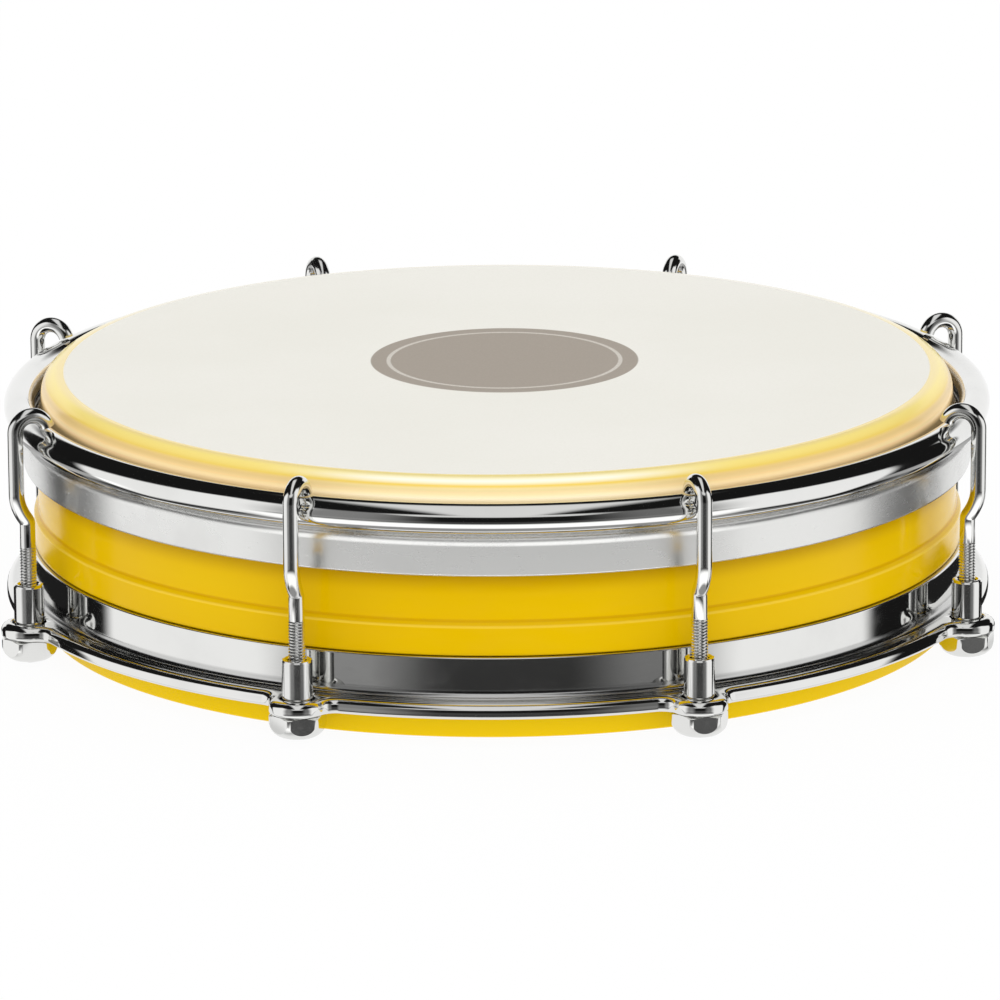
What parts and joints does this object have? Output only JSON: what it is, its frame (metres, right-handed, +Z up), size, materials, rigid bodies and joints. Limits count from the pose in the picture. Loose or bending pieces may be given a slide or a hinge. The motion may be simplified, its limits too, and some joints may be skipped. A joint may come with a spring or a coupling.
{
  "type": "tamborim",
  "caption": "Small shallow frame drum with a moulded shell, a film head under a rolled metal counterhoop, and hook rods with tubular nuts down to a flanged ring.",
  "frame": {"origin": "centre of the shell's bottom rim, on the surface that the drum stands on", "axes": "+Z up through the head, -Y towards the player's view in front, between two hook rods"},
  "size_m": [0.1664, 0.1664, 0.0435],
  "materials": {
    "shell": "gloss yellow moulding",
    "drumhead": "off-white polyester film, translucent in its collar",
    "flesh_hoop": "plain",
    "counterhoop": "polished",
    "tension_ring": "polished",
    "hook": "polished",
    "nut": "polished"
  },
  "bodies": {
    "drum": {"shell": "shell", "drumhead": "drumhead", "flesh_hoop": "flesh_hoop", "counterhoop": "counterhoop", "tension_ring": "tension_ring"},
    "hook_1": {"hook_1": "hook"},
    "hook_2": {"hook_2": "hook"},
    "hook_3": {"hook_3": "hook"},
    "hook_4": {"hook_4": "hook"},
    "hook_5": {"hook_5": "hook"},
    "hook_6": {"hook_6": "hook"},
    "hook_7": {"hook_7": "hook"},
    "hook_8": {"hook_8": "hook"},
    "nut_1": {"nut_1": "nut"},
    "nut_2": {"nut_2": "nut"},
    "nut_3": {"nut_3": "nut"},
    "nut_4": {"nut_4": "nut"},
    "nut_5": {"nut_5": "nut"},
    "nut_6": {"nut_6": "nut"},
    "nut_7": {"nut_7": "nut"},
    "nut_8": {"nut_8": "nut"}
  },
  "joints": [
    {"name": "nut_1_turn", "type": "hinge", "parent": "drum", "child": "nut_1", "pos_m": [0.0777, 0.03218, 0.003], "axis": [0, 0, -1], "range_deg": [0, 4320]},
    {"name": "hook_1_lift", "type": "slide", "parent": "drum", "child": "hook_1", "axis": [0, 0, 1], "range_m": [0, 0.006]},
    {"name": "nut_2_turn", "type": "hinge", "parent": "drum", "child": "nut_2", "pos_m": [0.03218, 0.0777, 0.003], "axis": [0, 0, -1], "range_deg": [0, 4320]},
    {"name": "hook_2_lift", "type": "slide", "parent": "drum", "child": "hook_2", "axis": [0, 0, 1], "range_m": [0, 0.006]},
    {"name": "nut_3_turn", "type": "hinge", "parent": "drum", "child": "nut_3", "pos_m": [-0.03218, 0.0777, 0.003], "axis": [0, 0, -1], "range_deg": [0, 4320]},
    {"name": "hook_3_lift", "type": "slide", "parent": "drum", "child": "hook_3", "axis": [0, 0, 1], "range_m": [0, 0.006]},
    {"name": "nut_4_turn", "type": "hinge", "parent": "drum", "child": "nut_4", "pos_m": [-0.0777, 0.03218, 0.003], "axis": [0, 0, -1], "range_deg": [0, 4320]},
    {"name": "hook_4_lift", "type": "slide", "parent": "drum", "child": "hook_4", "axis": [0, 0, 1], "range_m": [0, 0.006]},
    {"name": "nut_5_turn", "type": "hinge", "parent": "drum", "child": "nut_5", "pos_m": [-0.0777, -0.03218, 0.003], "axis": [0, 0, -1], "range_deg": [0, 4320]},
    {"name": "hook_5_lift", "type": "slide", "parent": "drum", "child": "hook_5", "axis": [0, 0, 1], "range_m": [0, 0.006]},
    {"name": "nut_6_turn", "type": "hinge", "parent": "drum", "child": "nut_6", "pos_m": [-0.03218, -0.0777, 0.003], "axis": [0, 0, -1], "range_deg": [0, 4320]},
    {"name": "hook_6_lift", "type": "slide", "parent": "drum", "child": "hook_6", "axis": [0, 0, 1], "range_m": [0, 0.006]},
    {"name": "nut_7_turn", "type": "hinge", "parent": "drum", "child": "nut_7", "pos_m": [0.03218, -0.0777, 0.003], "axis": [0, 0, -1], "range_deg": [0, 4320]},
    {"name": "hook_7_lift", "type": "slide", "parent": "drum", "child": "hook_7", "axis": [0, 0, 1], "range_m": [0, 0.006]},
    {"name": "nut_8_turn", "type": "hinge", "parent": "drum", "child": "nut_8", "pos_m": [0.0777, -0.03218, 0.003], "axis": [0, 0, -1], "range_deg": [0, 4320]},
    {"name": "hook_8_lift", "type": "slide", "parent": "drum", "child": "hook_8", "axis": [0, 0, 1], "range_m": [0, 0.006]}
  ],
  "couplings": [
    {"joint": "nut_1_turn", "follows": "hook_1_lift", "rad_per_m": 12566},
    {"joint": "nut_2_turn", "follows": "hook_2_lift", "rad_per_m": 12566},
    {"joint": "nut_3_turn", "follows": "hook_3_lift", "rad_per_m": 12566},
    {"joint": "nut_4_turn", "follows": "hook_4_lift", "rad_per_m": 12566},
    {"joint": "nut_5_turn", "follows": "hook_5_lift", "rad_per_m": 12566},
    {"joint": "nut_6_turn", "follows": "hook_6_lift", "rad_per_m": 12566},
    {"joint": "nut_7_turn", "follows": "hook_7_lift", "rad_per_m": 12566},
    {"joint": "nut_8_turn", "follows": "hook_8_lift", "rad_per_m": 12566}
  ]
}
